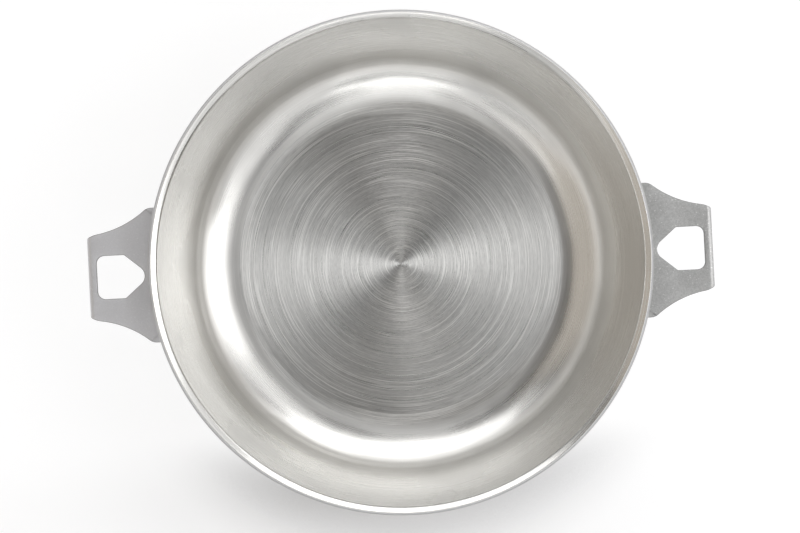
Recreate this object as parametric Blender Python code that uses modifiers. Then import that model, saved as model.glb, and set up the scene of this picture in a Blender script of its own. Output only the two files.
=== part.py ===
"""Saucier body with two welded lugs for a clip-on handle.

The pan is one drawn sheet of three bonded layers: a steel cooking face, an
aluminium core and an outer steel skin. It has a flat floor, a wide sweep that
tightens at its heel, a slightly bulged wall and a short flared pouring lip
whose cut edge shows the layers. Each lug is a blank with a five-sided hole,
folded down along the wall at its root and turned down at its outer end, and
plug-welded to the wall.

The table face lies on Z = 0 with the pan's axis on +Z. Lugs point to -X and +X.
Lengths are in metres and angles in degrees.
"""

import math

import bmesh
import bpy
from mathutils import Matrix, Vector

# Pan, measured on the cooking face
HEIGHT = 0.068
FLOOR_RADIUS = 0.078
SWEEP_RADIUS = 0.0355
SWEEP_SLOPE = 41.5
HEEL_RADIUS = 0.013
MOUTH_RADIUS = 0.120
WALL_BULGE = 0.00065

# Pouring lip, from the crease at the mouth to its outermost edge
LIP_WIDTH = 0.0049
LIP_SLOPE = 35.0
CREASE_RADIUS = 0.0005

# Layers of the sheet, with the film that bonds each pair
COOKING_PLY = 0.0005
CORE_PLY = 0.0011
OUTER_PLY = 0.0005
BOND = 0.0003
EDGE_BREAK = 0.00015

# Lug: heights below the top of the lip, reach beyond the lip's edge
LUG_SHEET = 0.0020
LUG_DROP = 0.0150
LUG_REACH = 0.0309
LUG_CLEARANCE = 0.0003
LUG_EDGE = 0.0003
ROOT_BEND = 0.0015
FLANGE_DEPTH = 0.0215
FLANGE_CORNER = 0.0100
FOOT_WIDTH = 0.0672
FOOT_RADIUS = 0.0060
SIDE_RADIUS = 0.0500
END_WIDTH = 0.0421
END_BEND = 0.0005
END_DROP = 0.0052
END_CORNER = 0.0060

# Hole in the lug, pointing at the pan
HOLE_MARGIN = 0.0044
HOLE_WIDTH = 0.0215
HOLE_SIDE = 0.0138
HOLE_POINT = 0.0127
HOLE_CORNER = 0.0038
HOLE_SHOULDER = 0.0015
HOLE_NOSE = 0.0052

# Plug welds through the flange
WELD_DIAMETER = 0.0044
WELD_CLEARANCE = 0.0003
WELD_CROWN = 0.0004
WELD_SPACING = 0.22 * FOOT_WIDTH
WELD_COUNT = 4
WELD_DEPTH = 0.0140

# Smoothness of the facets
TURNS = 64
SWEEP_STEPS = 4
HEEL_STEPS = 2
WALL_STEPS = 3
CREASE_STEPS = 3
BEND_STEPS = 3
FLANGE_STEPS = 3
CORNER_STEPS = 5
END_STEPS = 3
WELD_SIDES = 14

SHEET = COOKING_PLY + CORE_PLY + OUTER_PLY + 2 * BOND
RIM_RADIUS = MOUTH_RADIUS + LIP_WIDTH


def clear_scene():
    for obj in list(bpy.data.objects):
        bpy.data.objects.remove(obj, do_unlink=True)


def new_collection(name):
    collection = bpy.data.collections.new(name)
    bpy.context.scene.collection.children.link(collection)
    return collection


def metal(name, colour, roughness):
    """A bare metal surface."""
    material = bpy.data.materials.new(name)
    material.use_nodes = True
    shader = material.node_tree.nodes["Principled BSDF"]
    shader.inputs["Base Color"].default_value = (*colour, 1.0)
    shader.inputs["Metallic"].default_value = 1.0
    shader.inputs["Roughness"].default_value = roughness
    return material


def add_object(name, mesh, material, collection):
    obj = bpy.data.objects.new(name, mesh)
    mesh.materials.append(material)
    collection.objects.link(obj)
    return obj


# The sheet's section: points are (radius, height, slope of the cooking face)


def arc_points(start, signed_radius, end_slope, steps):
    """Points along an arc that leaves start at its slope, start left out."""
    r0, z0, first = start
    points = []
    for k in range(1, steps + 1):
        slope = first + (end_slope - first) * k / steps
        r = r0 + signed_radius * (math.sin(slope) - math.sin(first))
        z = z0 + signed_radius * (math.cos(first) - math.cos(slope))
        points.append((r, z, slope))
    return points


def wall_foot(slope):
    """Radius and height at which the heel has turned up to the wall's slope."""
    sweep = math.radians(SWEEP_SLOPE)
    heel_r = FLOOR_RADIUS + SWEEP_RADIUS * math.sin(sweep)
    heel_z = SHEET + SWEEP_RADIUS * (1 - math.cos(sweep))
    foot_r = heel_r + HEEL_RADIUS * (math.sin(slope) - math.sin(sweep))
    foot_z = heel_z + HEEL_RADIUS * (math.cos(sweep) - math.cos(slope))
    return foot_r, foot_z


def solve_wall():
    """Slopes at the wall's foot and top, and its radius, for the bulge asked."""
    lip = math.radians(LIP_SLOPE)
    crease = CREASE_RADIUS + SHEET
    foot_slope = math.radians(70)
    top_slope = math.radians(80)
    radius = HEIGHT
    for _ in range(80):
        foot_r, foot_z = wall_foot(foot_slope)
        bend_run = crease * (math.sin(top_slope) - math.sin(lip))
        bend_rise = crease * (math.cos(lip) - math.cos(top_slope))
        lip_run = LIP_WIDTH - SHEET * math.sin(lip) - bend_run
        top_z = HEIGHT - lip_run * math.tan(lip) - bend_rise
        chord = math.hypot(MOUTH_RADIUS - foot_r, top_z - foot_z)
        chord_slope = math.atan2(top_z - foot_z, MOUTH_RADIUS - foot_r)
        half_turn = 2 * math.atan(2 * WALL_BULGE / chord)
        radius = chord / (2 * math.sin(half_turn))
        foot_slope = (foot_slope + chord_slope - half_turn) / 2
        top_slope = (top_slope + chord_slope + half_turn) / 2
    return foot_slope, top_slope, radius


FOOT_SLOPE, TOP_SLOPE, WALL_RADIUS = solve_wall()


def cooking_face():
    """The cooking face from the edge of the floor to the end of the lip."""
    lip = math.radians(LIP_SLOPE)
    path = [(FLOOR_RADIUS, SHEET, 0.0)]
    path += arc_points(path[-1], SWEEP_RADIUS, math.radians(SWEEP_SLOPE), SWEEP_STEPS)
    path += arc_points(path[-1], HEEL_RADIUS, FOOT_SLOPE, HEEL_STEPS)
    path += arc_points(path[-1], WALL_RADIUS, TOP_SLOPE, WALL_STEPS)
    path += arc_points(path[-1], -(CREASE_RADIUS + SHEET), lip, CREASE_STEPS)
    path.append((RIM_RADIUS - SHEET * math.sin(lip), HEIGHT, lip))
    return path


def offset(point, depth, back=0.0):
    """A point moved into the sheet by depth, and back from the lip's end."""
    r, z, slope = point
    r += depth * math.sin(slope) - back * math.cos(slope)
    z -= depth * math.cos(slope) + back * math.sin(slope)
    return r, z


def layer_section(top, bottom, break_top, break_bottom):
    """Closed section of one layer between two depths, from axis to axis."""
    path = cooking_face()
    end = path[-1]
    section = [(0.0, SHEET - top)]
    section += [offset(p, top) for p in path[:-1]]
    if break_top:
        section.append(offset(end, top, EDGE_BREAK))
    section.append(offset(end, top + break_top))
    section.append(offset(end, bottom - break_bottom))
    if break_bottom:
        section.append(offset(end, bottom, EDGE_BREAK))
    section += [offset(p, bottom) for p in reversed(path[:-1])]
    section.append((0.0, SHEET - bottom))
    return section


def turned(name, section, steps, material, collection):
    """A section in (radius, height) spun about Z."""
    mesh = bpy.data.meshes.new(name)
    verts = [(r, 0.0, z) for r, z in section]
    edges = [(k, k + 1) for k in range(len(section) - 1)]
    mesh.from_pydata(verts, edges, [])
    obj = add_object(name, mesh, material, collection)
    screw = obj.modifiers.new("Turn", "SCREW")
    screw.axis = "Z"
    screw.angle = math.tau
    screw.steps = steps
    screw.render_steps = steps
    screw.use_merge_vertices = True
    screw.merge_threshold = 0.00001
    screw.use_smooth_shade = True
    return obj


def make_pan(collection, steel, skin, aluminium):
    core_top = COOKING_PLY + BOND
    skin_top = core_top + CORE_PLY + BOND
    cooking = layer_section(0.0, COOKING_PLY, EDGE_BREAK, 0.0)
    core = layer_section(core_top, core_top + CORE_PLY, 0.0, 0.0)
    outer = layer_section(skin_top, SHEET, 0.0, EDGE_BREAK)
    turned("cooking_ply", cooking, TURNS, steel, collection)
    turned("aluminium_core", core, TURNS, aluminium, collection)
    turned("outer_ply", outer, TURNS, skin, collection)


def wall_at(height, clearance):
    """Radius and slope of the wall's outer face, moved out by a clearance."""
    foot_r, foot_z = wall_foot(FOOT_SLOPE)
    centre_r = foot_r - WALL_RADIUS * math.sin(FOOT_SLOPE)
    centre_z = foot_z + WALL_RADIUS * math.cos(FOOT_SLOPE)
    reach = WALL_RADIUS + SHEET + clearance
    slope = math.acos((centre_z - height) / reach)
    return centre_r + reach * math.sin(slope), slope


# The lug is laid out on its mid surface, for +X, and thickened afterwards

PLATE_Z = HEIGHT - LUG_DROP - LUG_SHEET / 2
FLANGE_OFFSET = LUG_CLEARANCE + LUG_SHEET / 2
ROOT_MID = ROOT_BEND + LUG_SHEET / 2
END_MID = END_BEND + LUG_SHEET / 2
END_FACE = RIM_RADIUS + LUG_REACH
END_START = END_FACE - LUG_SHEET / 2 - END_MID
END_ARC = END_MID * math.pi / 2
BLANK_END = END_START + END_ARC + END_DROP - LUG_SHEET / 2 - END_MID
HOLE_END = END_FACE - HOLE_MARGIN


def root_bend():
    """Radius and height where the fold meets the wall's line, and its turn."""
    turn = math.radians(80)
    height = PLATE_Z
    radius = MOUTH_RADIUS
    for _ in range(20):
        height = PLATE_Z - ROOT_MID * (1 - math.cos(turn))
        radius, turn = wall_at(height, FLANGE_OFFSET)
    return radius, height, turn


ROOT_RADIUS, ROOT_Z, ROOT_TURN = root_bend()


def root_line(y):
    """X at which the plate starts to fold down, across the lug's width."""
    return math.sqrt(ROOT_RADIUS ** 2 - y ** 2) + ROOT_MID * math.sin(ROOT_TURN)


def side_circles():
    """Centres of the hollow side, the foot's corner and the end's corner."""
    side = Vector((BLANK_END, END_WIDTH / 2 + SIDE_RADIUS))
    foot_y = FOOT_WIDTH / 2 - FOOT_RADIUS
    span = SIDE_RADIUS + FOOT_RADIUS
    foot = Vector((side.x - math.sqrt(span ** 2 - (side.y - foot_y) ** 2), foot_y))
    span = SIDE_RADIUS + END_CORNER
    end_y = side.y - math.sqrt(span ** 2 - END_CORNER ** 2)
    return side, foot, Vector((BLANK_END - END_CORNER, end_y))


def circle_run(centre, radius, first, last, steps):
    """Points on a circle from one angle to another, both included."""
    run = []
    for k in range(steps + 1):
        angle = first + (last - first) * k / steps
        run.append(centre + radius * Vector((math.cos(angle), math.sin(angle))))
    return run


def end_half_width(x):
    """Half the blank's width on the turned-down end, round its corners."""
    side, _, corner = side_circles()
    touch = corner + END_CORNER * (side - corner).normalized()
    if x < touch.x:
        return side.y - math.sqrt(SIDE_RADIUS ** 2 - (side.x - x) ** 2)
    reach = min(x - corner.x, END_CORNER)
    return corner.y + math.sqrt(END_CORNER ** 2 - reach ** 2)


def plate_side():
    """The plate's +Y side, from the root to the start of the end's fold."""
    side, foot, _ = side_circles()
    toward_foot = math.atan2(foot.y - side.y, foot.x - side.x)
    stop = -math.pi / 2 - math.asin((BLANK_END - END_START) / SIDE_RADIUS)
    run = circle_run(foot, FOOT_RADIUS, math.pi / 2, toward_foot + math.pi, CORNER_STEPS)
    run += circle_run(side, SIDE_RADIUS, toward_foot, stop, 2 * CORNER_STEPS)[1:]
    run[-1] = Vector((END_START, end_half_width(END_START)))
    return run


def rounded_corner(before, corner, after, radius, steps):
    """Points of a fillet in a polygon's corner."""
    to_before = (before - corner).normalized()
    to_after = (after - corner).normalized()
    half = math.acos(max(-1.0, min(1.0, to_before.dot(to_after)))) / 2
    centre = corner + (to_before + to_after).normalized() * radius / math.sin(half)
    start = corner + to_before * radius / math.tan(half) - centre
    stop = corner + to_after * radius / math.tan(half) - centre
    first = math.atan2(start.y, start.x)
    turn = math.atan2(stop.y, stop.x) - first
    turn = (turn + math.pi) % math.tau - math.pi
    return circle_run(centre, radius, first, first + turn, steps)


def hole_outline():
    """The five-sided hole, two square corners outside and its nose at the pan."""
    half = HOLE_WIDTH / 2
    shoulder = HOLE_END - HOLE_SIDE
    corners = [
        (Vector((HOLE_END, -half)), HOLE_CORNER, CORNER_STEPS),
        (Vector((HOLE_END, half)), HOLE_CORNER, CORNER_STEPS),
        (Vector((shoulder, half)), HOLE_SHOULDER, 2),
        (Vector((shoulder - HOLE_POINT, 0.0)), HOLE_NOSE, CORNER_STEPS + 1),
        (Vector((shoulder, -half)), HOLE_SHOULDER, 2),
    ]
    outline = []
    for k, (corner, radius, steps) in enumerate(corners):
        before = corners[k - 1][0]
        after = corners[(k + 1) % len(corners)][0]
        outline += rounded_corner(before, corner, after, radius, steps)
    return outline


def root_columns():
    """Positions across the root, closer together on the flange's corners."""
    half = FOOT_WIDTH / 2
    straight = half - FLANGE_CORNER
    columns = [straight * k / 4 for k in range(5)]
    for k in range(1, CORNER_STEPS + 1):
        angle = math.pi / 2 * k / CORNER_STEPS
        columns.append(straight + FLANGE_CORNER * math.sin(angle))
    return [-y for y in reversed(columns[1:])] + columns


def flange_length(y):
    """Length of the flange below the fold, shorter at its rounded corners."""
    full = (ROOT_Z - (HEIGHT - LUG_DROP - FLANGE_DEPTH)) / math.sin(ROOT_TURN)
    into = max(0.0, abs(y) - (FOOT_WIDTH / 2 - FLANGE_CORNER))
    into = min(into, FLANGE_CORNER)
    return full - FLANGE_CORNER + math.sqrt(FLANGE_CORNER ** 2 - into ** 2)


def root_rows(columns):
    """Rows of points down the fold and then down the wall."""
    rows = []
    for k in range(1, BEND_STEPS + 1):
        angle = ROOT_TURN * k / BEND_STEPS
        z = PLATE_Z - ROOT_MID * (1 - math.cos(angle))
        rows.append([Vector((root_line(y) - ROOT_MID * math.sin(angle), y, z)) for y in columns])
    for k in range(1, FLANGE_STEPS + 1):
        row = []
        for y in columns:
            z = ROOT_Z - math.sin(ROOT_TURN) * flange_length(y) * k / FLANGE_STEPS
            radius = wall_at(z, FLANGE_OFFSET)[0]
            row.append(Vector((math.sqrt(radius ** 2 - y ** 2), y, z)))
        rows.append(row)
    return rows


def end_rows(count):
    """Rows of points round the outer fold and down to the blank's end."""
    stations = [END_START + END_ARC * k / BEND_STEPS for k in range(1, BEND_STEPS + 1)]
    corner_start = BLANK_END - END_CORNER
    for k in range(1, END_STEPS + 1):
        x = corner_start + END_CORNER * math.sin(math.pi / 2 * k / END_STEPS)
        if x > stations[-1] + LUG_EDGE:
            stations.append(x)
    rows = []
    for x in stations:
        half = end_half_width(x)
        angle = min((x - END_START) / END_MID, math.pi / 2)
        below = max(0.0, x - END_START - END_ARC)
        px = END_START + END_MID * math.sin(angle)
        pz = PLATE_Z - END_MID * (1 - math.cos(angle)) - below
        rows.append([Vector((px, half * (2 * k / count - 1), pz)) for k in range(count + 1)])
    return rows


def add_strip(bm, row, points):
    """Quads from a row of vertices to a new row of points."""
    new_row = [bm.verts.new(p) for p in points]
    for k in range(len(row) - 1):
        bm.faces.new((row[k], row[k + 1], new_row[k + 1], new_row[k]))
    return new_row


def lug_mesh():
    """Mid surface of the folded blank."""
    bm = bmesh.new()
    columns = root_columns()
    end_count = 6
    end_half = end_half_width(END_START)
    root = [bm.verts.new((root_line(y), y, PLATE_Z)) for y in columns]
    side = [bm.verts.new((p.x, p.y, PLATE_Z)) for p in plate_side()[:-1]]
    end = [bm.verts.new((END_START, end_half * (1 - 2 * k / end_count), PLATE_Z))
           for k in range(end_count + 1)]
    back = [bm.verts.new((p.x, -p.y, PLATE_Z)) for p in reversed(plate_side()[:-1])]
    outline = root + side + end + back
    hole = [bm.verts.new((p.x, p.y, PLATE_Z)) for p in hole_outline()]
    for loop in (outline, hole):
        for k in range(len(loop)):
            bm.edges.new((loop[k - 1], loop[k]))
    bmesh.ops.triangle_fill(bm, use_beauty=True, use_dissolve=False, edges=bm.edges[:])
    row = root
    for points in root_rows(columns):
        row = add_strip(bm, row, points)
    row = list(reversed(end))
    for points in end_rows(end_count):
        row = add_strip(bm, row, points)
    bmesh.ops.recalc_face_normals(bm, faces=bm.faces[:])
    top = max(bm.faces, key=lambda f: f.calc_center_median().z * 1000 + f.calc_area())
    if top.normal.z < 0:
        bmesh.ops.reverse_faces(bm, faces=bm.faces[:])
    mesh = bpy.data.meshes.new("lug")
    bm.to_mesh(mesh)
    bm.free()
    return mesh


def weld_frames():
    """Axes of the plug welds, on the wall and square to it."""
    height = HEIGHT - LUG_DROP - WELD_DEPTH
    radius, slope = wall_at(height, 0.0)
    frames = []
    for k in range(WELD_COUNT):
        angle = (k - (WELD_COUNT - 1) / 2) * WELD_SPACING / radius
        turn = Matrix.Rotation(angle, 4, "Z")
        place = Matrix.Translation((radius, 0.0, height))
        tilt = Matrix.Rotation(math.pi - slope, 4, "Y")
        frames.append(turn @ place @ tilt)
    return frames


def weld_hole_cutter(name, about, collection):
    """Cylinders through one flange, one for each weld."""
    bm = bmesh.new()
    length = 4 * (LUG_CLEARANCE + LUG_SHEET)
    radius = WELD_DIAMETER / 2 + WELD_CLEARANCE
    for frame in weld_frames():
        bmesh.ops.create_cone(bm, cap_ends=True, segments=WELD_SIDES, depth=length,
                              radius1=radius, radius2=radius, matrix=about @ frame)
    mesh = bpy.data.meshes.new(name)
    bm.to_mesh(mesh)
    bm.free()
    cutter = bpy.data.objects.new(name, mesh)
    cutter.hide_render = True
    cutter.display_type = "WIRE"
    collection.objects.link(cutter)
    return cutter


def weld_mesh():
    """A plug of weld metal along +Z, from its clearance to its crown."""
    bm = bmesh.new()
    radius = WELD_DIAMETER / 2
    middle = Matrix.Translation((0.0, 0.0, LUG_CLEARANCE + LUG_SHEET / 2))
    bmesh.ops.create_cone(bm, cap_ends=True, segments=WELD_SIDES, depth=LUG_SHEET,
                          radius1=radius, radius2=radius, matrix=middle)
    crown = max(bm.faces, key=lambda face: face.calc_center_median().z)
    bmesh.ops.inset_region(bm, faces=[crown], thickness=radius * 0.4)
    bmesh.ops.translate(bm, verts=crown.verts[:], vec=(0.0, 0.0, WELD_CROWN))
    mesh = bpy.data.meshes.new("plug_weld")
    bm.to_mesh(mesh)
    bm.free()
    mesh.shade_smooth()
    mesh.set_sharp_from_angle(angle=math.radians(40))
    return mesh


def add_lug(name, turn, mesh, cutter, collection):
    """A lug of sheet with broken edges and its weld holes, turned about Z."""
    obj = bpy.data.objects.new(name, mesh)
    obj.rotation_euler.z = turn
    collection.objects.link(obj)
    sheet = obj.modifiers.new("Sheet", "SOLIDIFY")
    sheet.thickness = LUG_SHEET
    sheet.offset = 0.0
    sheet.use_even_offset = True
    edges = obj.modifiers.new("Edges", "BEVEL")
    edges.width = LUG_EDGE
    edges.segments = 1
    edges.limit_method = "ANGLE"
    edges.angle_limit = math.radians(50)
    holes = obj.modifiers.new("Weld holes", "BOOLEAN")
    holes.operation = "DIFFERENCE"
    holes.solver = "EXACT"
    holes.object = cutter


def make_lugs(collection, cutters, satin, weld_metal):
    lug = lug_mesh()
    lug.materials.append(satin)
    weld = weld_mesh()
    weld.materials.append(weld_metal)
    for side, turn in (("right", 0.0), ("left", math.pi)):
        about = Matrix.Rotation(turn, 4, "Z")
        cutter = weld_hole_cutter(side + "_weld_holes", about, cutters)
        add_lug(side + "_lug", turn, lug, cutter, collection)
        for k, frame in enumerate(weld_frames()):
            plug = bpy.data.objects.new(side + "_weld_" + str(k + 1), weld)
            plug.matrix_world = about @ frame
            collection.objects.link(plug)


def main():
    clear_scene()
    parts = new_collection("saucier")
    cutters = new_collection("cutters")
    steel = metal("cooking_steel", (0.68, 0.67, 0.64), 0.30)
    skin = metal("outer_steel", (0.66, 0.65, 0.63), 0.28)
    aluminium = metal("core_aluminium", (0.78, 0.78, 0.79), 0.45)
    satin = metal("lug_steel", (0.47, 0.47, 0.47), 0.42)
    weld_metal = metal("weld_steel", (0.42, 0.41, 0.40), 0.50)
    make_pan(parts, steel, skin, aluminium)
    make_lugs(parts, cutters, satin, weld_metal)


main()
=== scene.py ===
"""Looks of the saucier: finely turned layers, folded lugs, weld spots, brushed
steel and a white studio. Lengths are in metres, +Z is up, lugs lie on X."""

import math

import bmesh
import bpy
from mathutils import Matrix, Vector


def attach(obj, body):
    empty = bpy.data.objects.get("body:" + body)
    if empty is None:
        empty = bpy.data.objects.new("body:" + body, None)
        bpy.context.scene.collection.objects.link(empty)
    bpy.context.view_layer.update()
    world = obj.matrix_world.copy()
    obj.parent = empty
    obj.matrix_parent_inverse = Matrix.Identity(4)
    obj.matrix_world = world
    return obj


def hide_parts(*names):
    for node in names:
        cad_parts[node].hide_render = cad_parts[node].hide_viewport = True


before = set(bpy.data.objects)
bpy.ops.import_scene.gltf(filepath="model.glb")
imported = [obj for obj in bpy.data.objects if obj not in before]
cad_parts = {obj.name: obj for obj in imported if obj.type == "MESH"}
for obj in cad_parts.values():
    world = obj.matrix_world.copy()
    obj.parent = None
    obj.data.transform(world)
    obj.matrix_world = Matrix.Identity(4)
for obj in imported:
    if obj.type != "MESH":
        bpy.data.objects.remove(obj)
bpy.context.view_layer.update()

# Pan, as in the solids
HEIGHT = 0.068
FLOOR_RADIUS = 0.078
SWEEP_RADIUS = 0.0355
SWEEP_SLOPE = math.radians(41.5)
HEEL_RADIUS = 0.013
MOUTH_RADIUS = 0.120
WALL_BULGE = 0.00065
LIP_WIDTH = 0.0049
LIP_SLOPE = math.radians(35)
CREASE_RADIUS = 0.0005
COOKING_PLY = 0.0005
CORE_PLY = 0.0011
OUTER_PLY = 0.0005
BOND = 0.0003
SHEET = COOKING_PLY + CORE_PLY + OUTER_PLY + 2 * BOND
RIM_RADIUS = MOUTH_RADIUS + LIP_WIDTH

# Pan, shown only: rounds and seams of the lip's cut edge
FACE_ROUND = 0.00025
SEAM_ROUND = 0.00003
CORE_ROUND = 0.00006
CORE_INSET = 0.00010
SEAM = 0.00004

# Lugs, as in the solids but for the end's corner
LUG_SHEET = 0.0020
LUG_DROP = 0.0150
LUG_REACH = 0.0309
LUG_CLEARANCE = 0.0003
ROOT_BEND = 0.0015
FLANGE_DEPTH = 0.0215
FLANGE_CORNER = 0.0100
FOOT_WIDTH = 0.0672
FOOT_RADIUS = 0.0060
SIDE_RADIUS = 0.0500
END_WIDTH = 0.0421
END_BEND = 0.0005
END_DROP = 0.0052
END_CORNER = 0.0090
HOLE_MARGIN = 0.0044
HOLE_WIDTH = 0.0215
HOLE_SIDE = 0.0138
HOLE_POINT = 0.0127
HOLE_CORNER = 0.0038
HOLE_SHOULDER = 0.0015
HOLE_NOSE = 0.0052
WELD_DIAMETER = 0.0044
WELD_CLEARANCE = 0.0003
WELD_SPACING = 0.22 * FOOT_WIDTH
WELD_COUNT = 4
WELD_DEPTH = 0.0140

# Lugs, shown only: round of the sheet's edges, and the welds' low crown, whose
# middle dips inside a ring
LUG_EDGE = 0.00035
WELD_CROWN = 0.0004
CROWN_REACH = 0.86
CROWN_FOOT = 0.95
CROWN_DIP = 0.15
CROWN_EDGE = 0.0001

# Fineness of the shown meshes
TURNS = 256
FLOOR_RINGS = (0.0, 0.004, 0.010, 0.018, 0.028, 0.040, 0.052, 0.062, 0.070, 0.075, 0.0772)
SWEEP_STEPS = 18
HEEL_STEPS = 12
WALL_STEPS = 16
CREASE_STEPS = 10
ROUND_STEPS = 4
ROOT_STEPS = 10
BEND_STEPS = 8
FLANGE_STEPS = 8
CORNER_STEPS = 12
SHOULDER_STEPS = 5
NOSE_STEPS = 14
END_STEPS = 6
END_STRIPS = 10
THIN_STRIP = 0.0006
EDGE_SEGMENTS = 3
WELD_SIDES = 40
CROWN_STEPS = 8
DRILL_LENGTH = 0.009
ON_AXIS = 1e-9

# Angles above which an edge is shown sharp, or is rounded
PAN_SHARP = math.radians(38)
LUG_SHARP = math.radians(30)
WELD_SHARP = math.radians(50)
LUG_ROUNDED = math.radians(50)

# First guesses and rounds of the two solvers
STEEP = math.radians(80)
LESS_STEEP = math.radians(70)
WALL_ROUNDS = 80
ROOT_ROUNDS = 20


# Section of the pan


def arc_points(start, signed_radius, end_slope, steps):
    """Points along an arc that leaves start at its slope, start left out."""
    r0, z0, first = start
    points = []
    for k in range(1, steps + 1):
        slope = first + (end_slope - first) * k / steps
        r = r0 + signed_radius * (math.sin(slope) - math.sin(first))
        z = z0 + signed_radius * (math.cos(first) - math.cos(slope))
        points.append((r, z, slope))
    return points


def wall_foot(slope):
    """Radius and height at which the heel has turned up to the wall's slope."""
    heel_r = FLOOR_RADIUS + SWEEP_RADIUS * math.sin(SWEEP_SLOPE)
    heel_z = SHEET + SWEEP_RADIUS * (1 - math.cos(SWEEP_SLOPE))
    foot_r = heel_r + HEEL_RADIUS * (math.sin(slope) - math.sin(SWEEP_SLOPE))
    foot_z = heel_z + HEEL_RADIUS * (math.cos(SWEEP_SLOPE) - math.cos(slope))
    return foot_r, foot_z


def solve_wall():
    """Slopes at the wall's foot and top, and its radius."""
    crease = CREASE_RADIUS + SHEET
    foot_slope = LESS_STEEP
    top_slope = STEEP
    radius = HEIGHT
    for _ in range(WALL_ROUNDS):
        foot_r, foot_z = wall_foot(foot_slope)
        bend_run = crease * (math.sin(top_slope) - math.sin(LIP_SLOPE))
        bend_rise = crease * (math.cos(LIP_SLOPE) - math.cos(top_slope))
        lip_run = LIP_WIDTH - SHEET * math.sin(LIP_SLOPE) - bend_run
        top_z = HEIGHT - lip_run * math.tan(LIP_SLOPE) - bend_rise
        chord = math.hypot(MOUTH_RADIUS - foot_r, top_z - foot_z)
        chord_slope = math.atan2(top_z - foot_z, MOUTH_RADIUS - foot_r)
        half_turn = 2 * math.atan(2 * WALL_BULGE / chord)
        radius = chord / (2 * math.sin(half_turn))
        foot_slope = (foot_slope + chord_slope - half_turn) / 2
        top_slope = (top_slope + chord_slope + half_turn) / 2
    return foot_slope, top_slope, radius


FOOT_SLOPE, TOP_SLOPE, WALL_RADIUS = solve_wall()


def cooking_path():
    """The cooking face from the edge of the floor to the end of the lip."""
    path = [(FLOOR_RADIUS, SHEET, 0.0)]
    path += arc_points(path[-1], SWEEP_RADIUS, SWEEP_SLOPE, SWEEP_STEPS)
    path += arc_points(path[-1], HEEL_RADIUS, FOOT_SLOPE, HEEL_STEPS)
    path += arc_points(path[-1], WALL_RADIUS, TOP_SLOPE, WALL_STEPS)
    path += arc_points(path[-1], -(CREASE_RADIUS + SHEET), LIP_SLOPE, CREASE_STEPS)
    path.append((RIM_RADIUS - SHEET * math.sin(LIP_SLOPE), HEIGHT, LIP_SLOPE))
    return path


def offset(point, depth, back=0.0):
    """A point moved into the sheet by depth, and back from the lip's end."""
    r, z, slope = point
    r += depth * math.sin(slope) - back * math.cos(slope)
    z -= depth * math.cos(slope) + back * math.sin(slope)
    return r, z


def rounded_end(end, depth, radius, from_top):
    """Quarter round on one corner of the lip's cut edge."""
    points = []
    for k in range(ROUND_STEPS + 1):
        angle = math.pi / 2 * k / ROUND_STEPS
        along = radius * (1 - math.sin(angle))
        into = radius * (1 - math.cos(angle))
        if from_top:
            points.append(offset(end, depth + into, along))
        else:
            points.append(offset(end, depth - into, along))
    return points if from_top else points[::-1]


def layer_section(top, bottom, round_top, round_bottom, inset=0.0):
    """Closed section of one layer between two depths, from axis to axis, its
    edge in the lip set back by inset."""
    path = cooking_path()
    r, z, slope = path[-1]
    end = (r - inset * math.cos(LIP_SLOPE), z - inset * math.sin(LIP_SLOPE), slope)
    section = [(r, SHEET - top) for r in FLOOR_RINGS]
    section += [offset(p, top) for p in path[:-1]]
    section += rounded_end(end, top, round_top, True)
    section += rounded_end(end, bottom, round_bottom, False)
    section += [offset(p, bottom) for p in reversed(path[:-1])]
    section += [(r, SHEET - bottom) for r in reversed(FLOOR_RINGS)]
    return section


def link(obj):
    bpy.context.scene.collection.objects.link(obj)
    return obj


def turned_mesh(name, section, sides):
    """A section from axis to axis, turned about Z."""
    verts = []
    rings = []
    for r, z in section:
        count = 1 if r < ON_AXIS else sides
        rings.append([len(verts) + k for k in range(count)])
        for k in range(count):
            angle = math.tau * k / sides
            verts.append((r * math.cos(angle), r * math.sin(angle), z))
    faces = []
    for low, high in zip(rings, rings[1:]):
        for k in range(sides):
            n = (k + 1) % sides
            if len(low) == 1:
                faces.append((low[0], high[k], high[n]))
            elif len(high) == 1:
                faces.append((low[k], high[0], low[n]))
            else:
                faces.append((low[k], high[k], high[n], low[n]))
    mesh = bpy.data.meshes.new(name)
    mesh.from_pydata(verts, [], faces)
    return mesh


def smooth_object(name, mesh, sharp):
    """An object with smooth faces and the edges above an angle left sharp."""
    mesh.validate()
    mesh.shade_smooth()
    mesh.set_sharp_from_angle(angle=sharp)
    return link(bpy.data.objects.new(name, mesh))


def wall_at(height, clearance):
    """Radius and slope of the wall's outer face, moved out by a clearance."""
    foot_r, foot_z = wall_foot(FOOT_SLOPE)
    centre_r = foot_r - WALL_RADIUS * math.sin(FOOT_SLOPE)
    centre_z = foot_z + WALL_RADIUS * math.cos(FOOT_SLOPE)
    reach = WALL_RADIUS + SHEET + clearance
    slope = math.acos((centre_z - height) / reach)
    return centre_r + reach * math.sin(slope), slope


# Lugs: the right one, made as the mid surface of its sheet

PLATE_Z = HEIGHT - LUG_DROP - LUG_SHEET / 2
FLANGE_OFFSET = LUG_CLEARANCE + LUG_SHEET / 2
ROOT_MID = ROOT_BEND + LUG_SHEET / 2
END_MID = END_BEND + LUG_SHEET / 2
END_FACE = RIM_RADIUS + LUG_REACH
END_START = END_FACE - LUG_SHEET / 2 - END_MID
END_ARC = END_MID * math.pi / 2
BLANK_END = END_START + END_ARC + END_DROP - LUG_SHEET / 2 - END_MID
HOLE_END = END_FACE - HOLE_MARGIN


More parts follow.
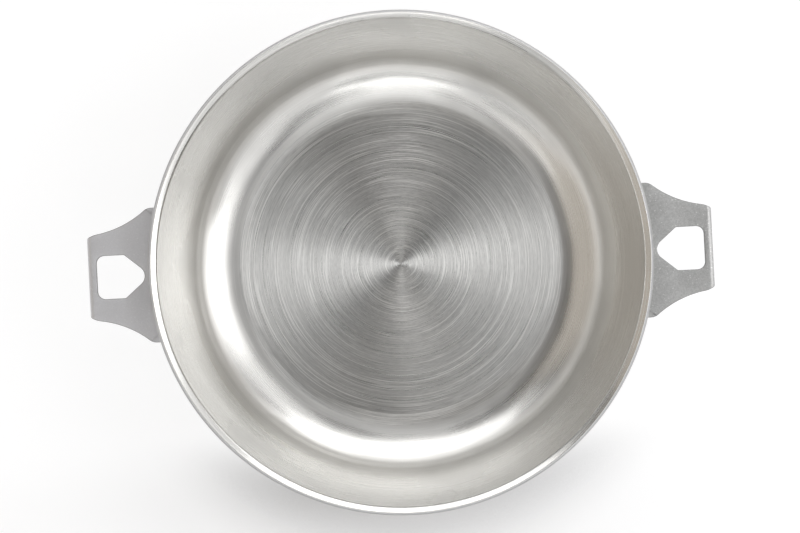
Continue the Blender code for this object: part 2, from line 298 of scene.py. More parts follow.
def root_bend():
    """Radius and height where the fold meets the wall's line, and its turn."""
    turn = STEEP
    height = PLATE_Z
    radius = MOUTH_RADIUS
    for _ in range(ROOT_ROUNDS):
        height = PLATE_Z - ROOT_MID * (1 - math.cos(turn))
        radius, turn = wall_at(height, FLANGE_OFFSET)
    return radius, height, turn


ROOT_RADIUS, ROOT_Z, ROOT_TURN = root_bend()


def root_line(y):
    """Distance out at which the flat plate begins."""
    return math.sqrt(ROOT_RADIUS ** 2 - y ** 2) + ROOT_MID * math.sin(ROOT_TURN)


def side_circles():
    """Centres of the hollow side, the foot's corner and the end's corner."""
    side = Vector((BLANK_END, END_WIDTH / 2 + SIDE_RADIUS))
    foot_y = FOOT_WIDTH / 2 - FOOT_RADIUS
    span = SIDE_RADIUS + FOOT_RADIUS
    foot = Vector((side.x - math.sqrt(span ** 2 - (side.y - foot_y) ** 2), foot_y))
    span = SIDE_RADIUS + END_CORNER
    end_y = side.y - math.sqrt(span ** 2 - END_CORNER ** 2)
    return side, foot, Vector((BLANK_END - END_CORNER, end_y))


def corner_touch(side, corner):
    """Point where the hollow side passes into the end's corner."""
    return corner + END_CORNER * (side - corner).normalized()


def circle_run(centre, radius, first, last, steps):
    """Points round a circle from one angle to another."""
    run = []
    for k in range(steps + 1):
        angle = first + (last - first) * k / steps
        run.append(centre + radius * Vector((math.cos(angle), math.sin(angle))))
    return run


def end_half_width(x):
    """Half the blank's width at the outer end, round its corners."""
    side, _, corner = side_circles()
    if x < corner_touch(side, corner).x:
        return side.y - math.sqrt(SIDE_RADIUS ** 2 - (side.x - x) ** 2)
    reach = min(x - corner.x, END_CORNER)
    return corner.y + math.sqrt(END_CORNER ** 2 - reach ** 2)


def plate_side():
    """The plate's +Y side, from the root to the start of the end's fold."""
    side, foot, corner = side_circles()
    touch = corner_touch(side, corner)
    toward_foot = math.atan2(foot.y - side.y, foot.x - side.x)
    stop = math.atan2(touch.y - side.y, touch.x - side.x)
    run = circle_run(foot, FOOT_RADIUS, math.pi / 2, toward_foot + math.pi, CORNER_STEPS)
    run += circle_run(side, SIDE_RADIUS, toward_foot, stop, 2 * CORNER_STEPS)[1:]
    for k in range(1, END_STEPS + 1):
        x = touch.x + (END_START - touch.x) * k / END_STEPS
        run.append(Vector((x, end_half_width(x))))
    return run


def rounded_corner(before, corner, after, radius, steps):
    """Points of a fillet in a polygon's corner."""
    to_before = (before - corner).normalized()
    to_after = (after - corner).normalized()
    half = math.acos(max(-1.0, min(1.0, to_before.dot(to_after)))) / 2
    centre = corner + (to_before + to_after).normalized() * radius / math.sin(half)
    start = corner + to_before * radius / math.tan(half) - centre
    stop = corner + to_after * radius / math.tan(half) - centre
    first = math.atan2(start.y, start.x)
    turn = math.atan2(stop.y, stop.x) - first
    turn = (turn + math.pi) % math.tau - math.pi
    return circle_run(centre, radius, first, first + turn, steps)


def hole_outline():
    """The five-sided hole, its nose toward the pan."""
    half = HOLE_WIDTH / 2
    shoulder = HOLE_END - HOLE_SIDE
    corners = [
        (Vector((HOLE_END, -half)), HOLE_CORNER, CORNER_STEPS),
        (Vector((HOLE_END, half)), HOLE_CORNER, CORNER_STEPS),
        (Vector((shoulder, half)), HOLE_SHOULDER, SHOULDER_STEPS),
        (Vector((shoulder - HOLE_POINT, 0.0)), HOLE_NOSE, NOSE_STEPS),
        (Vector((shoulder, -half)), HOLE_SHOULDER, SHOULDER_STEPS),
    ]
    outline = []
    for k, (corner, radius, steps) in enumerate(corners):
        before = corners[k - 1][0]
        after = corners[(k + 1) % len(corners)][0]
        outline += rounded_corner(before, corner, after, radius, steps)
    return outline


def root_columns():
    """Places across the root, closer together round the flange's corners."""
    half = FOOT_WIDTH / 2
    straight = half - FLANGE_CORNER
    columns = [straight * k / ROOT_STEPS for k in range(ROOT_STEPS + 1)]
    for k in range(1, CORNER_STEPS):
        angle = math.pi / 2 * k / CORNER_STEPS
        columns.append(straight + FLANGE_CORNER * math.sin(angle))
    columns = [y for y in columns if half - y > THIN_STRIP] + [half]
    return [-y for y in reversed(columns[1:])] + columns


def flange_length(y):
    """Length of the flange down the wall, shorter round its corners."""
    full = (ROOT_Z - (HEIGHT - LUG_DROP - FLANGE_DEPTH)) / math.sin(ROOT_TURN)
    into = max(0.0, abs(y) - (FOOT_WIDTH / 2 - FLANGE_CORNER))
    into = min(into, FLANGE_CORNER)
    return full - FLANGE_CORNER + math.sqrt(FLANGE_CORNER ** 2 - into ** 2)


def root_rows(columns):
    """Rows of points down the fold and then down the wall."""
    rows = []
    for k in range(1, BEND_STEPS + 1):
        angle = ROOT_TURN * k / BEND_STEPS
        back = ROOT_MID * math.sin(angle)
        z = PLATE_Z - ROOT_MID * (1 - math.cos(angle))
        rows.append([Vector((root_line(y) - back, y, z)) for y in columns])
    for k in range(1, FLANGE_STEPS + 1):
        row = []
        for y in columns:
            z = ROOT_Z - math.sin(ROOT_TURN) * flange_length(y) * k / FLANGE_STEPS
            radius = wall_at(z, FLANGE_OFFSET)[0]
            row.append(Vector((math.sqrt(radius ** 2 - y ** 2), y, z)))
        rows.append(row)
    return rows


def end_rows():
    """Rows of points round the outer fold and down to the blank's end."""
    stations = [END_START + END_ARC * k / BEND_STEPS for k in range(1, BEND_STEPS + 1)]
    corner_start = BLANK_END - END_CORNER
    for k in range(1, END_STEPS + 1):
        x = corner_start + END_CORNER * math.sin(math.pi / 2 * k / END_STEPS)
        if x > stations[-1] + LUG_EDGE:
            stations.append(x)
    if BLANK_END - stations[-2] < 2 * LUG_EDGE:
        stations.pop(-2)
    rows = []
    for x in stations:
        half = end_half_width(x)
        angle = min((x - END_START) / END_MID, math.pi / 2)
        below = max(0.0, x - END_START - END_ARC)
        px = END_START + END_MID * math.sin(angle)
        pz = PLATE_Z - END_MID * (1 - math.cos(angle)) - below
        rows.append([Vector((px, half * (2 * k / END_STRIPS - 1), pz))
                     for k in range(END_STRIPS + 1)])
    return rows


def add_strips(bm, row, rows):
    """Faces from a row of points through the rows that follow it."""
    for points in rows:
        new_row = [bm.verts.new(p) for p in points]
        for k in range(len(row) - 1):
            bm.faces.new((row[k], row[k + 1], new_row[k + 1], new_row[k]))
        row = new_row


def lug_mid_surface():
    """Mid surface of the folded blank, its plate's normal up."""
    bm = bmesh.new()
    columns = root_columns()
    end_half = end_half_width(END_START)
    sides = plate_side()[:-1]
    root = [bm.verts.new((root_line(y), y, PLATE_Z)) for y in columns]
    side = [bm.verts.new((p.x, p.y, PLATE_Z)) for p in sides]
    end = [bm.verts.new((END_START, end_half * (1 - 2 * k / END_STRIPS), PLATE_Z))
           for k in range(END_STRIPS + 1)]
    back = [bm.verts.new((p.x, -p.y, PLATE_Z)) for p in reversed(sides)]
    hole = [bm.verts.new((p.x, p.y, PLATE_Z)) for p in hole_outline()]
    for loop in (root + side + end + back, hole):
        for k in range(len(loop)):
            bm.edges.new((loop[k - 1], loop[k]))
    bmesh.ops.triangle_fill(bm, use_beauty=True, use_dissolve=False, edges=bm.edges[:])
    add_strips(bm, root, root_rows(columns))
    add_strips(bm, list(reversed(end)), end_rows())
    bmesh.ops.recalc_face_normals(bm, faces=bm.faces[:])
    # The plate's faces are the highest, and the largest of them is surely flat
    top = max(bm.faces, key=lambda f: f.calc_center_median().z * 1000 + f.calc_area())
    if top.normal.z < 0:
        bmesh.ops.reverse_faces(bm, faces=bm.faces[:])
    mesh = bpy.data.meshes.new("lug_mid")
    bm.to_mesh(mesh)
    bm.free()
    return mesh


def weld_frames():
    """Axes of the plug welds, on the wall and square to it."""
    height = HEIGHT - LUG_DROP - WELD_DEPTH
    radius, slope = wall_at(height, 0.0)
    place = Matrix.Translation((radius, 0.0, height))
    tilt = Matrix.Rotation(math.pi - slope, 4, "Y")
    frames = []
    for k in range(WELD_COUNT):
        angle = (k - (WELD_COUNT - 1) / 2) * WELD_SPACING / radius
        frames.append(Matrix.Rotation(angle, 4, "Z") @ place @ tilt)
    return frames


def weld_hole_cutter():
    """Drills for the weld holes, long enough to pass through the flange."""
    radius = WELD_DIAMETER / 2 + WELD_CLEARANCE / 2
    bm = bmesh.new()
    for place in weld_frames():
        bmesh.ops.create_cone(bm, cap_ends=True, segments=WELD_SIDES, radius1=radius,
                              radius2=radius, depth=DRILL_LENGTH, matrix=place)
    holes = bpy.data.meshes.new("holes")
    bm.to_mesh(holes)
    bm.free()
    return link(bpy.data.objects.new("holes", holes))


def apply_modifiers(obj):
    """The object's shown mesh, taken as its own."""
    bpy.context.view_layer.update()
    graph = bpy.context.evaluated_depsgraph_get()
    mesh = bpy.data.meshes.new_from_object(obj.evaluated_get(graph))
    obj.modifiers.clear()
    obj.data = mesh


def lug(name, turn):
    """A lug of folded sheet with weld holes. Its first material is for the
    faces, its second for the cut edges."""
    obj = link(bpy.data.objects.new(name, lug_mid_surface()))
    obj.data.materials.append(None)
    obj.data.materials.append(None)
    sheet = obj.modifiers.new("Sheet", "SOLIDIFY")
    sheet.thickness = LUG_SHEET
    sheet.offset = 0.0
    sheet.use_even_offset = True
    sheet.material_offset_rim = 1
    edges = obj.modifiers.new("Edges", "BEVEL")
    edges.width = LUG_EDGE
    edges.segments = EDGE_SEGMENTS
    edges.limit_method = "ANGLE"
    edges.angle_limit = LUG_ROUNDED
    edges.material = 1
    cutter = weld_hole_cutter()
    cut = obj.modifiers.new("Holes", "BOOLEAN")
    cut.object = cutter
    cut.solver = "EXACT"
    apply_modifiers(obj)
    bpy.data.objects.remove(cutter, do_unlink=True)
    obj.data.transform(Matrix.Rotation(turn, 4, "Z"))
    obj.data.shade_smooth()
    obj.data.set_sharp_from_angle(angle=LUG_SHARP)
    return obj


def weld_spot(name, place):
    """A plug weld with a low crown and a shallow ring pressed round it."""
    radius = WELD_DIAMETER / 2 + WELD_CLEARANCE / 4
    low = LUG_CLEARANCE
    face = LUG_CLEARANCE + LUG_SHEET
    profile = [(0.0, face + WELD_CROWN * (1 - CROWN_DIP))]
    for k in range(1, CROWN_STEPS + 1):
        part = k / CROWN_STEPS
        lift = WELD_CROWN * (1 - CROWN_DIP + CROWN_DIP * math.sin(math.pi * part))
        profile.append((radius * CROWN_REACH * part, face + lift * (1 - part ** 6 / 2)))
    profile.append((radius * CROWN_FOOT, face + WELD_CROWN * CROWN_DIP))
    profile += [(radius, face - CROWN_EDGE), (radius, low), (0.0, low)]
    mesh = turned_mesh(name, profile, WELD_SIDES)
    mesh.transform(place)
    return smooth_object(name, mesh, WELD_SHARP)


# Materials

NOISE = (0.3, 0.7)  # nearly all values of a noise lie between these
MID_NOISE = (0.35, 0.65)


def shaded(colour, factor):
    return tuple(min(1.0, c * factor) for c in colour)


class Nodes:
    """Short calls to wire up a material."""

    def __init__(self, name):
        self.material = bpy.data.materials.new(name)
        self.material.use_nodes = True
        self.tree = self.material.node_tree
        self.shader = self.tree.nodes["Principled BSDF"]
        self.output = self.tree.nodes["Material Output"]

    def add(self, kind, **settings):
        node = self.tree.nodes.new(kind)
        for key, value in settings.items():
            setattr(node, key, value)
        return node

    def link(self, source, target):
        self.tree.links.new(source, target)

    def feed(self, node, *values, **named):
        """Links or sets a node's inputs, in their order or by name."""
        for key, value in (*enumerate(values), *named.items()):
            if isinstance(value, bpy.types.NodeSocket):
                self.link(value, node.inputs[key])
            else:
                node.inputs[key].default_value = value
        return node.outputs[0]

    def math(self, operation, a, b=0.0, clamp=False):
        node = self.add("ShaderNodeMath", operation=operation, use_clamp=clamp)
        return self.feed(node, a, b)

    def sum_of(self, a, share_a, b, share_b):
        """Two values added by their shares."""
        return self.math("ADD", self.math("MULTIPLY", a, share_a),
                         self.math("MULTIPLY", b, share_b))

    def distance(self, x, y):
        """Distance from the Z axis."""
        squares = self.math("ADD", self.math("MULTIPLY", x, x), self.math("MULTIPLY", y, y))
        return self.math("SQRT", squares)

    def span(self, value, low, high, to_low, to_high):
        node = self.add("ShaderNodeMapRange", clamp=True)
        return self.feed(node, value, low, high, to_low, to_high)

    def smooth_span(self, value, low, high, to_low, to_high):
        node = self.add("ShaderNodeMapRange", clamp=True, interpolation_type="SMOOTHSTEP")
        return self.feed(node, value, low, high, to_low, to_high)

    def position(self):
        return self.add("ShaderNodeTexCoord").outputs["Object"]

    def split(self, vector):
        node = self.add("ShaderNodeSeparateXYZ")
        self.link(vector, node.inputs[0])
        return node.outputs

    def noise(self, vector, scale, detail=2.0, roughness=0.5):
        node = self.add("ShaderNodeTexNoise")
        return self.feed(node, Vector=vector, Scale=scale, Detail=detail,
                         Roughness=roughness)

    def vector(self, x, y, z):
        return self.feed(self.add("ShaderNodeCombineXYZ"), x, y, z)

    def mix(self, factor, a, b):
        node = self.add("ShaderNodeMix", data_type="RGBA")
        self.feed(node, Factor=factor)
        for socket, value in ((node.inputs[6], a), (node.inputs[7], b)):
            if isinstance(value, bpy.types.NodeSocket):
                self.link(value, socket)
            else:
                socket.default_value = (*value, 1.0)
        return node.outputs[2]

    def bump(self, height, strength, distance, normal=None):
        node = self.add("ShaderNodeBump")
        if normal is not None:
            self.link(normal, node.inputs["Normal"])
        return self.feed(node, Height=height, Strength=strength, Distance=distance)

    def metal(self, tint, rough, normal):
        """Finishes the shader as bare metal."""
        self.link(tint, self.shader.inputs["Base Color"])
        self.link(rough, self.shader.inputs["Roughness"])
        self.link(normal, self.shader.inputs["Normal"])
        self.shader.inputs["Metallic"].default_value = 1.0
        return self.material


# Noise drawn out round the axis: how fast it changes on the way round, the
# spacing of its rings, and where in the noise it lies
FINE_RINGS = (0.7, 0.00042, 0.0)
COARSE_RINGS = (0.45, 0.0016, 31.0)
HAIR_RINGS = (16.0, 0.00030, 57.0)
LONG_LINES = (0.8, 0.00044, 83.0)
SHORT_LINES = (2.4, 0.00034, 11.0)
CLEAR_LINE = (0.62, 0.76)  # noise values over which a single line comes up
SCRATCH_EDGES = (0.00012, 0.00038)
NO_DIRECTION = 0.0004  # nearer the axis than this, directions fade out
BRUSH_RELIEF = 0.00004


def spun_coordinates(n):
    """Position, distance from the axis, height, and direction round the axis."""
    position = n.position()
    x, y, z = n.split(position)
    radius = n.distance(x, y)
    safe = n.math("MAXIMUM", radius, NO_DIRECTION)
    return position, radius, z, n.math("DIVIDE", x, safe), n.math("DIVIDE", y, safe)


def spun_steel(name, colour, stops, anisotropy, streak, grain,
               wave=0.0, smudge=0.0, scratches=()):
    """Steel brushed while it turned: fine rings that run most of the way round.

    stops gives the roughness at radii from the axis outwards, streak the contrast of the
    rings, grain their relief, wave the height of soft dents from pressing, smudge the
    strength of faint dull patches from handling, and scratches the radii of single rings of
    real wear. Their lighter tint, like that of the single lines, is a painted highlight."""
    n = Nodes(name)
    position, radius, height, cx, cy = spun_coordinates(n)
    along = n.math("ADD", radius, height)

    def rings(turns, pitch, shift):
        return n.vector(n.math("MULTIPLY", cx, turns), n.math("MULTIPLY", cy, turns),
                        n.math("ADD", n.math("DIVIDE", along, pitch), shift))

    fine = n.noise(rings(*FINE_RINGS), 1.0, 2.0, 0.65)
    coarse = n.noise(rings(*COARSE_RINGS), 1.0, 2.0, 0.55)
    hair = n.noise(rings(*HAIR_RINGS), 1.0, 1.0, 0.5)
    cloud = n.noise(position, 22.0, 3.0, 0.5)
    lines = n.sum_of(fine, 0.78, coarse, 0.22)

    long_line = n.noise(rings(*LONG_LINES), 1.0, 0.0)
    long_line = n.smooth_span(long_line, *CLEAR_LINE, 0.0, 1.0)
    short_line = n.noise(rings(*SHORT_LINES), 1.0, 0.0)
    short_line = n.smooth_span(short_line, *CLEAR_LINE, 0.0, 1.0)
    cut = n.math("MAXIMUM", long_line, n.math("MULTIPLY", short_line, 0.8))
    # Each scratch is fainter over parts of its round
    worn = n.span(n.noise(n.vector(cx, cy, 5.0), 1.2, 2.0, 0.5), 0.3, 0.6, 0.25, 1.0)
    for ring in scratches:
        off = n.math("ABSOLUTE", n.math("SUBTRACT", radius, ring))
        line = n.math("MULTIPLY", n.smooth_span(off, *SCRATCH_EDGES, 1.0, 0.0), worn)
        cut = n.math("MAXIMUM", cut, line)

    rough = n.math("ADD", n.span(lines, *NOISE, -0.04 * streak, 0.04 * streak), stops[0][1])
    for (r0, v0), (r1, v1) in zip(stops, stops[1:]):
        rough = n.math("ADD", rough, n.smooth_span(radius, r0, r1, 0.0, v1 - v0))
    rough = n.math("ADD", rough, n.span(cloud, *NOISE, -0.01, 0.01))
    rough = n.math("ADD", rough, n.math("MULTIPLY", cut, 0.10 * streak))

    mottle = n.span(n.sum_of(lines, 0.6, hair, 0.4), *MID_NOISE, 0.0, 1.0)
    dull, bright = shaded(colour, 1.0 - 0.18 * streak), shaded(colour, 1.0 + 0.18 * streak)
    tint = n.mix(mottle, dull, bright)
    # Painted highlight: the single lines and scratches are real wear, and also rougher, but
    # their lighter tint stands in for the light they catch
    tint = n.mix(n.math("MULTIPLY", cut, 0.9), tint, shaded(colour, 1.0 + 0.42 * streak))
    if smudge:
        stain = n.smooth_span(n.noise(position, 26.0, 1.5, 0.5), 0.48, 0.74, 0.0, smudge)
        tint = n.mix(stain, tint, shaded(colour, 0.72))
        rough = n.math("ADD", rough, n.math("MULTIPLY", stain, 0.10))

    normal = n.bump(n.sum_of(fine, 0.7, hair, 0.3), grain, BRUSH_RELIEF)
    if wave:
        normal = n.bump(n.noise(position, 34.0, 1.0, 0.4), 1.0, wave, normal)
    n.shader.inputs["Anisotropic"].default_value = anisotropy
    tangent = n.add("ShaderNodeTangent", direction_type="RADIAL", axis="Z")
    n.link(tangent.outputs[0], n.shader.inputs["Tangent"])
    return n.metal(tint, rough, normal)


def satin_steel(name, colour, rough, speckle):
    """Sheet with a fine even blasted grain: painted shade in its pits, painted glints on
    its specks, and a soft cloudiness. speckle is the strength of all three."""
    n = Nodes(name)
    position = n.position()
    grain = n.noise(position, 1500.0, 3.0, 0.7)
    cloud = n.noise(position, 90.0, 3.0, 0.5)
    speck = n.noise(position, 1000.0, 1.0, 0.5)
    tint = n.mix(n.span(cloud, *NOISE, 0.0, 1.0),
                 shaded(colour, 1.0 - 0.07 * speckle), shaded(colour, 1.0 + 0.07 * speckle))
    # Painted shade where the grain's bump is low, and painted glints: lighter specks of
    # base colour
    painted_pit_shade = n.span(grain, 0.60, 0.38, 0.0, 0.5 * speckle)
    tint = n.mix(painted_pit_shade, tint, shaded(colour, 0.6))
    painted_glints = n.span(speck, 0.67, 0.73, 0.0, 0.8 * speckle)
    tint = n.mix(painted_glints, tint, shaded(colour, 1.5))
    rough_map = n.math("ADD", n.span(grain, *NOISE, rough - 0.04, rough + 0.04),
                       n.span(cloud, *NOISE, -0.02, 0.02))
    return n.metal(tint, rough_map, n.bump(grain, 0.25, 0.00003))


def sheared_edge(name):
    """Cut edge of the sheet, darker, with upright drag lines from the punch."""
    n = Nodes(name)
    x, y, z = n.split(n.position())
    across, upright = 0.0005, 0.006
    drag = n.noise(n.vector(n.math("DIVIDE", x, across), n.math("DIVIDE", y, across),
                            n.math("DIVIDE", z, upright)), 1.0, 2.0, 0.6)
    tint = n.mix(n.span(drag, *NOISE, 0.0, 1.0), (0.20, 0.20, 0.20), (0.40, 0.40, 0.395))
    rough = n.span(drag, *NOISE, 0.34, 0.50)
    return n.metal(tint, rough, n.bump(drag, 0.4, 0.00004))


def weld_metal(name):
    """Duller fused metal with a straw tint and a rippled face."""
    n = Nodes(name)
    position = n.position()
    ripple = n.noise(position, 1400.0, 2.0, 0.6)
    cloud = n.noise(position, 380.0, 2.0, 0.5)
    straw, grey = (0.46, 0.42, 0.36), (0.55, 0.54, 0.53)
    tint = n.mix(n.span(cloud, *MID_NOISE, 0.0, 1.0), straw, grey)
    rough = n.span(ripple, *NOISE, 0.38, 0.55)
    return n.metal(tint, rough, n.bump(ripple, 0.5, 0.00006))


def core_metal(name):
    """Edge of the rolled aluminium, matt with lines along the edge."""
    n = Nodes(name)
    _, _, height, cx, cy = spun_coordinates(n)
    turns, pitch = 3.0, 0.00012
    lines = n.noise(n.vector(n.math("MULTIPLY", cx, turns), n.math("MULTIPLY", cy, turns),
                             n.math("DIVIDE", height, pitch)), 1.0, 2.0, 0.6)
    tint = n.mix(n.span(lines, *NOISE, 0.0, 1.0), (0.50, 0.50, 0.51), (0.66, 0.66, 0.67))
    rough = n.span(lines, *NOISE, 0.45, 0.6)
    return n.metal(tint, rough, n.bump(lines, 0.3, 0.00003))


# Build the shown pieces

FLOOR_STEEL = (0.69, 0.686, 0.671)
WALL_STEEL = (0.705, 0.697, 0.678)
OUTSIDE_STEEL = (0.67, 0.66, 0.645)
# The lugs are one steel. The left's colour is raised, a painted light for the light the
# pan's rim keeps from it. The right's is lowered, a painted shade for the strong light on
# its side. The right's stronger speckle is its own
RIGHT_LUG_STEEL_PAINTED_SHADE = (0.56, 0.56, 0.555)
LEFT_LUG_STEEL_PAINTED_LIGHT = (0.71, 0.708, 0.725)
FLOOR_STOPS = [(0.0765, 0.30), (0.0810, 0.43)]
WALL_STOPS = [(0.0830, 0.38), (0.0890, 0.27), (0.098, 0.27), (0.1035, 0.40), (0.110, 0.26)]
OUTSIDE_STOPS = [(0.078, 0.30)]
SCRATCH_RINGS = (0.0080, 0.0227)
BRUSHED_RADIUS = 0.083  # the floor's brushing runs out here, on the sweep

floor_steel = spun_steel("cooking_steel", FLOOR_STEEL, FLOOR_STOPS, anisotropy=0.95,
                         streak=1.0, grain=0.2, scratches=SCRATCH_RINGS)
wall_steel = spun_steel("cooking_steel_wall", WALL_STEEL, WALL_STOPS, anisotropy=0.2,
                        streak=0.22, grain=0.05, wave=0.0006, smudge=0.28)
outside = spun_steel("outer_steel", OUTSIDE_STEEL, OUTSIDE_STOPS, anisotropy=0.70,
                     streak=0.6, grain=0.12)
lug_edge = sheared_edge("lug_sheared_edge")
aluminium = core_metal("core_aluminium")
lug_steels = {
    # Lit and shaded copies of one steel: painted light on the left lug, painted shade on
    # the right
    "right": satin_steel("lug_steel", RIGHT_LUG_STEEL_PAINTED_SHADE, rough=0.52, speckle=1.0),
    "left": satin_steel("lug_steel_smooth_painted_light", LEFT_LUG_STEEL_PAINTED_LIGHT, rough=0.60, speckle=0.3),
}
weld_steel = weld_metal("weld_steel")

layers = [
    ("cooking_face", "cooking_ply", "cooking_steel", floor_steel,
     layer_section(0.0, COOKING_PLY, FACE_ROUND, SEAM_ROUND)),
    ("core_layer", "aluminium_core", "core_aluminium", aluminium,
     layer_section(COOKING_PLY + SEAM, SHEET - OUTER_PLY - SEAM,
                   CORE_ROUND, CORE_ROUND, CORE_INSET)),
    ("outer_skin", "outer_ply", "outer_steel", outside,
     layer_section(SHEET - OUTER_PLY, SHEET, SEAM_ROUND, FACE_ROUND)),
]
for name, node, slot, material, section in layers:
    piece = smooth_object(name, turned_mesh(name, section, TURNS), PAN_SHARP)
    piece.data.materials.append(material)
    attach(piece, "root")
    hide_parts(node)

face = bpy.data.objects["cooking_face"].data
face.materials.append(wall_steel)
for polygon in face.polygons:
    if math.hypot(polygon.center.x, polygon.center.y) > BRUSHED_RADIUS:
        polygon.material_index = 1

for side, turn in (("right", 0.0), ("left", math.pi)):
    piece = lug(side + "_handle_lug", turn)
    piece.data.materials[0] = lug_steels[side]
    piece.data.materials[1] = lug_edge
    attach(piece, "root")
    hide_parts(side + "_lug")
    about = Matrix.Rotation(turn, 4, "Z")
    for k, place in enumerate(weld_frames()):
        spot = weld_spot(side + "_weld_spot_" + str(k + 1), about @ place)
        spot.data.materials.append(weld_steel)
        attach(spot, "root")
        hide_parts(side + "_weld_" + str(k + 1))


# Studio

LAMP_DISTANCE = 2.4
ROOM_LIGHT = (0.04, 0.04, 0.04)
NEUTRAL = (1.0, 1.0, 1.0)
WARM = (1.0, 0.92, 0.82)

# Azimuth, half width, lower and upper elevation in degrees as seen from the
# pan, then radiance and colour
SOFT_BOXES = [
    (45, 22.5, 2, 14, 2.63, NEUTRAL),
    (270, 22.5, 36, 44, 2.49, NEUTRAL),
    (88.2, 34, 11.5, 47.3, 2.04, NEUTRAL),
    (6.4, 28.7, 19.7, 43.6, 1.44, NEUTRAL),
    (271.7, 21.5, 44.8, 80, 1.39, NEUTRAL),
    (356.7, 22.3, 19.2, 46.1, 1.21, NEUTRAL),
    (270, 22.5, 14, 26, 1.18, NEUTRAL),
    (312.6, 18.5, 3.7, 54.4, 0.92, NEUTRAL),
    (224.4, 14, 42.1, 63.2, 0.87, NEUTRAL),
    (94.4, 14, 44.8, 75.6, 0.83, NEUTRAL),
    (0, 70, 84, 89.5, 0.69, NEUTRAL),
    (79.7, 18.8, 66, 80, 0.68, NEUTRAL),
    (32.4, 32.2, 21.4, 47.5, 0.57, NEUTRAL),
    (180.1, 33.5, 2, 61.2, 0.55, WARM),
    (204.6, 34, 2, 11.1, 0.53, NEUTRAL),
    (225, 22.5, 14, 26, 0.47, NEUTRAL),
    (135, 22.5, 14, 26, 0.43, NEUTRAL),
    (242.7, 31.4, 17.9, 50.3, 0.36, NEUTRAL),
    (11.5, 34, 17.5, 65, 0.32, NEUTRAL),
    (345.8, 34, 17.7, 48.3, 0.23, NEUTRAL),
]

# The table. On its front and round the pan it reflects more, so the cast shadow shows
# there, and it has a painted shadow, its glow dimmed near the pan. That part begins between
# two values of Y on the front, and round the pan out to between two distances from the
# axis. The contact values say how open a point is where its painted shadow ends.
TABLE_RADIUS = 6.0
TABLE_SIDES = 96
TABLE_SINK = 0.0002  # clear of the pan's base
TABLE_WHITE = 1.03
TABLE_ALBEDO = 0.28
SHADOW_ALBEDO_RISE = 0.47
SHADOW_FRONT = (-0.130, -0.082)
SHADOW_ROUND = (0.095, 0.122)
CONTACT_REACH = 0.06
CONTACT_OPEN = (0.62, 0.99)


def soft_box(name, azimuth, half_width, low, high, radiance, colour):
    """A soft box seen from the pan at an azimuth, between two elevations."""
    turn, lift = math.radians(azimuth), math.radians((low + high) / 2)
    light = bpy.data.lights.new(name, "AREA")
    light.shape = "RECTANGLE"
    light.size = 2 * LAMP_DISTANCE * math.tan(math.radians(half_width)) * math.cos(lift)
    light.size_y = 2 * LAMP_DISTANCE * math.tan(math.radians((high - low) / 2))
    light.energy = radiance * math.pi * light.size * light.size_y
    light.color = colour
    obj = link(bpy.data.objects.new(name, light))
    level = math.cos(lift)
    away = Vector((math.cos(turn) * level, math.sin(turn) * level, math.sin(lift)))
    obj.location = away * LAMP_DISTANCE + Vector((0.0, 0.0, HEIGHT / 2))
    obj.rotation_euler = (-away).to_track_quat("-Z", "Z").to_euler()
    obj.visible_camera = False


def make_lights():
    for k, (azimuth, half_width, low, high, radiance, colour) in enumerate(SOFT_BOXES):
        soft_box("soft_box_" + str(k + 1), azimuth, half_width, low, high, radiance, colour)


def table_light():
    """Light that reaches the open table, where 1 shows a colour as written."""
    total = ROOM_LIGHT[0]
    for _, half_width, low, high, radiance, _ in SOFT_BOXES:
        band = (math.sin(math.radians(high)) ** 2 - math.sin(math.radians(low)) ** 2) / 2
        total += radiance * 2 * math.radians(half_width) * band / math.pi
    return total


def table_material():
    """White table. A glow that only the picture and reflections see tops up its reflected
    light to white. Round the pan and on its -Y side, it reflects more, so the cast shadow
    shows, and its glow is dimmed where the pan is near, a painted shadow."""
    n = Nodes("table_white")
    n.tree.nodes.remove(n.shader)
    matt = n.add("ShaderNodeBsdfDiffuse")
    glow = n.add("ShaderNodeEmission")
    x, y, _ = n.split(n.position())
    front = n.math("MAXIMUM", n.smooth_span(y, *SHADOW_FRONT, 1.0, 0.0),
                   n.smooth_span(n.distance(x, y), *SHADOW_ROUND, 1.0, 0.0))
    albedo = n.math("ADD", n.math("MULTIPLY", front, SHADOW_ALBEDO_RISE), TABLE_ALBEDO)
    # Painted shadow: on the front and round the pan, the glow is dimmed by how much the pan
    # closes off each point
    near = n.add("ShaderNodeAmbientOcclusion", samples=8)
    near.inputs["Distance"].default_value = CONTACT_REACH
    painted_shadow = n.smooth_span(near.outputs["AO"], *CONTACT_OPEN, 1.0, 0.0)
    white = n.math("SUBTRACT", TABLE_WHITE, n.math("MULTIPLY", albedo, table_light()))
    left = n.math("SUBTRACT", 1.0, n.math("MULTIPLY", painted_shadow, front))
    white = n.math("MULTIPLY", white, left)
    path = n.add("ShaderNodeLightPath")
    seen = n.math("ADD", path.outputs["Is Camera Ray"], path.outputs["Is Glossy Ray"], True)
    n.feed(matt, Color=n.vector(albedo, albedo, n.math("MULTIPLY", albedo, 1.01)))
    n.feed(glow, Strength=n.math("MULTIPLY", seen, white))
    both = n.feed(n.add("ShaderNodeAddShader"), matt.outputs[0], glow.outputs[0])
    n.link(both, n.output.inputs["Surface"])
    return n.material


def make_table():
    bm = bmesh.new()
    bmesh.ops.create_circle(bm, cap_ends=True, segments=TABLE_SIDES, radius=TABLE_RADIUS)
    mesh = bpy.data.meshes.new("table_top")
    bm.to_mesh(mesh)
    bm.free()
    table = link(bpy.data.objects.new("table_top", mesh))
    table.location.z = -TABLE_SINK
    table.data.materials.append(table_material())


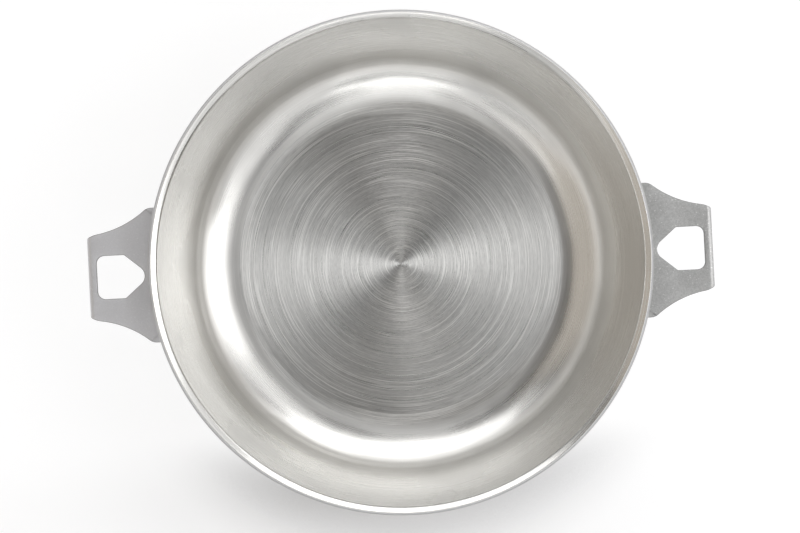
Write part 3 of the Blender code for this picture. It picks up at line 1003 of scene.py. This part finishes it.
def make_world():
    """Dim room light, and white where the camera sees past the table."""
    world = bpy.data.worlds.new("studio")
    bpy.context.scene.world = world
    world.use_nodes = True
    tree = world.node_tree
    back = tree.nodes["Background"]
    back.inputs["Color"].default_value = (*ROOM_LIGHT, 1.0)
    back.inputs["Strength"].default_value = 1.0
    white = tree.nodes.new("ShaderNodeBackground")
    white.inputs["Color"].default_value = (1.0, 1.0, 1.0, 1.0)
    path = tree.nodes.new("ShaderNodeLightPath")
    mix = tree.nodes.new("ShaderNodeMixShader")
    tree.links.new(path.outputs["Is Camera Ray"], mix.inputs[0])
    tree.links.new(back.outputs[0], mix.inputs[1])
    tree.links.new(white.outputs[0], mix.inputs[2])
    tree.links.new(mix.outputs[0], tree.nodes["World Output"].inputs["Surface"])


# Camera, fitted to the rim in the photo. The aim is in pixels of the frame.
RIM_Z = 0.0658
CAMERA_DISTANCE = 1.30
PIXELS_PER_METRE = 2028.4
FRAME_WIDTH = 800
SENSOR_WIDTH = 36.0
NEAR, FAR = 0.01, 50.0
ROLL = math.radians(-2.9)
LEAN = math.radians(0.53)
AIM_RIGHT = -0.87
AIM_DOWN = 4.15


def make_camera():
    """Straight above the pan, with the rim placed in the frame as seen."""
    data = bpy.data.cameras.new("camera")
    focal = PIXELS_PER_METRE * CAMERA_DISTANCE
    data.sensor_width = SENSOR_WIDTH
    data.lens = focal / FRAME_WIDTH * SENSOR_WIDTH
    data.clip_start = NEAR
    data.clip_end = FAR
    camera = link(bpy.data.objects.new("camera", data))
    target = Vector((0.0, 0.0, RIM_Z))
    back = Vector((0.0, -math.sin(LEAN), math.cos(LEAN)))
    camera.location = target + back * CAMERA_DISTANCE
    turn = Matrix.Rotation(LEAN, 3, "X") @ Matrix.Rotation(ROLL, 3, "Z")
    aim = (Matrix.Rotation(-AIM_RIGHT / focal, 3, "Y")
           @ Matrix.Rotation(-AIM_DOWN / focal, 3, "X"))
    camera.rotation_euler = (turn @ aim).to_euler()
    bpy.context.scene.camera = camera


make_table()
make_world()
make_lights()
make_camera()
bpy.context.scene.view_settings.view_transform = "Standard"
